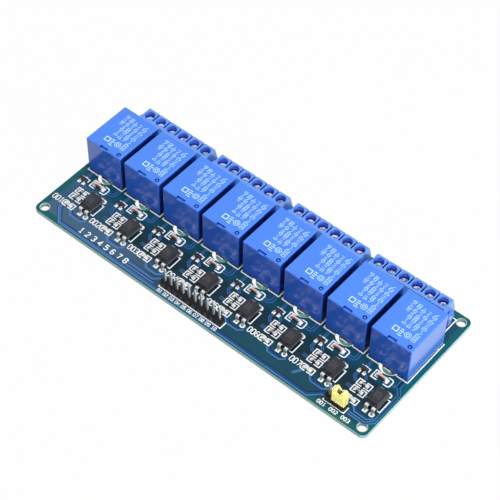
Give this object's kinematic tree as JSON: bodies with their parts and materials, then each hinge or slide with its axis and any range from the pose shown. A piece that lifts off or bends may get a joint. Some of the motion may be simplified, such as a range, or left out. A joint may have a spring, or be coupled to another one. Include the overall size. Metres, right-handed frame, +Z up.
{
  "type": "relay module board",
  "caption": "Circuit board with a row of sealed relays, screw terminals behind them, driver circuits and pin headers in front, and a slide-off jumper cap.",
  "frame": {"origin": "centre of the four corner holes, on the underside of the bare board", "axes": "+X along the row of relays, +Y from the pin headers towards the wire terminals, +Z up out of the component side"},
  "size_m": [0.1384, 0.0566, 0.0191],
  "materials": {
    "board": "blue-green solder mask over glass-fibre laminate",
    "relay_blue": "glossy moulded blue",
    "terminal_blue": "moulded blue, softer gloss",
    "black_resin": "matt moulded black",
    "header_black": "satin moulded black",
    "tinned_metal": "tin plate",
    "screw_steel": "bright zinc plate",
    "solder": "bright solder",
    "orange_glass": "clear orange glass round a dark die",
    "lamp_resin": "clear pale resin",
    "yellow_plastic": "moulded yellow",
    "print_white": "white printing ink"
  },
  "bodies": {
    "module": {"circuit_board": "board", "relay_1": "relay_blue", "relay_2": "relay_blue", "relay_3": "relay_blue", "relay_4": "relay_blue", "relay_5": "relay_blue", "relay_6": "relay_blue", "relay_7": "relay_blue", "relay_8": "relay_blue", "relay_pins": "tinned_metal", "terminal_block_1": "terminal_blue", "terminal_block_2": "terminal_blue", "terminal_block_3": "terminal_blue", "terminal_block_4": "terminal_blue", "terminal_block_5": "terminal_blue", "terminal_block_6": "terminal_blue", "terminal_block_7": "terminal_blue", "terminal_block_8": "terminal_blue", "terminal_screws": "screw_steel", "terminal_cages": "tinned_metal", "terminal_contacts": "tinned_metal", "optocoupler_1": "black_resin", "optocoupler_2": "black_resin", "optocoupler_3": "black_resin", "optocoupler_4": "black_resin", "optocoupler_5": "black_resin", "optocoupler_6": "black_resin", "optocoupler_7": "black_resin", "optocoupler_8": "black_resin", "optocoupler_leads": "tinned_metal", "transistor_bodies": "black_resin", "transistor_leads": "tinned_metal", "diode_glasses": "orange_glass", "diode_caps": "tinned_metal", "resistor_bodies": "black_resin", "resistor_terminals": "tinned_metal", "led_bodies": "lamp_resin", "led_terminals": "tinned_metal", "input_header_strip": "header_black", "input_header_pins": "tinned_metal", "power_header_strip": "header_black", "power_header_pins": "tinned_metal", "solder_joints": "solder"},
    "jumper": {"jumper_cap": "yellow_plastic", "jumper_clip": "tinned_metal"}
  },
  "joints": [
    {"name": "jumper_pull", "type": "slide", "parent": "module", "child": "jumper", "axis": [0, 0, 1], "range_m": [0, 0.008]}
  ]
}
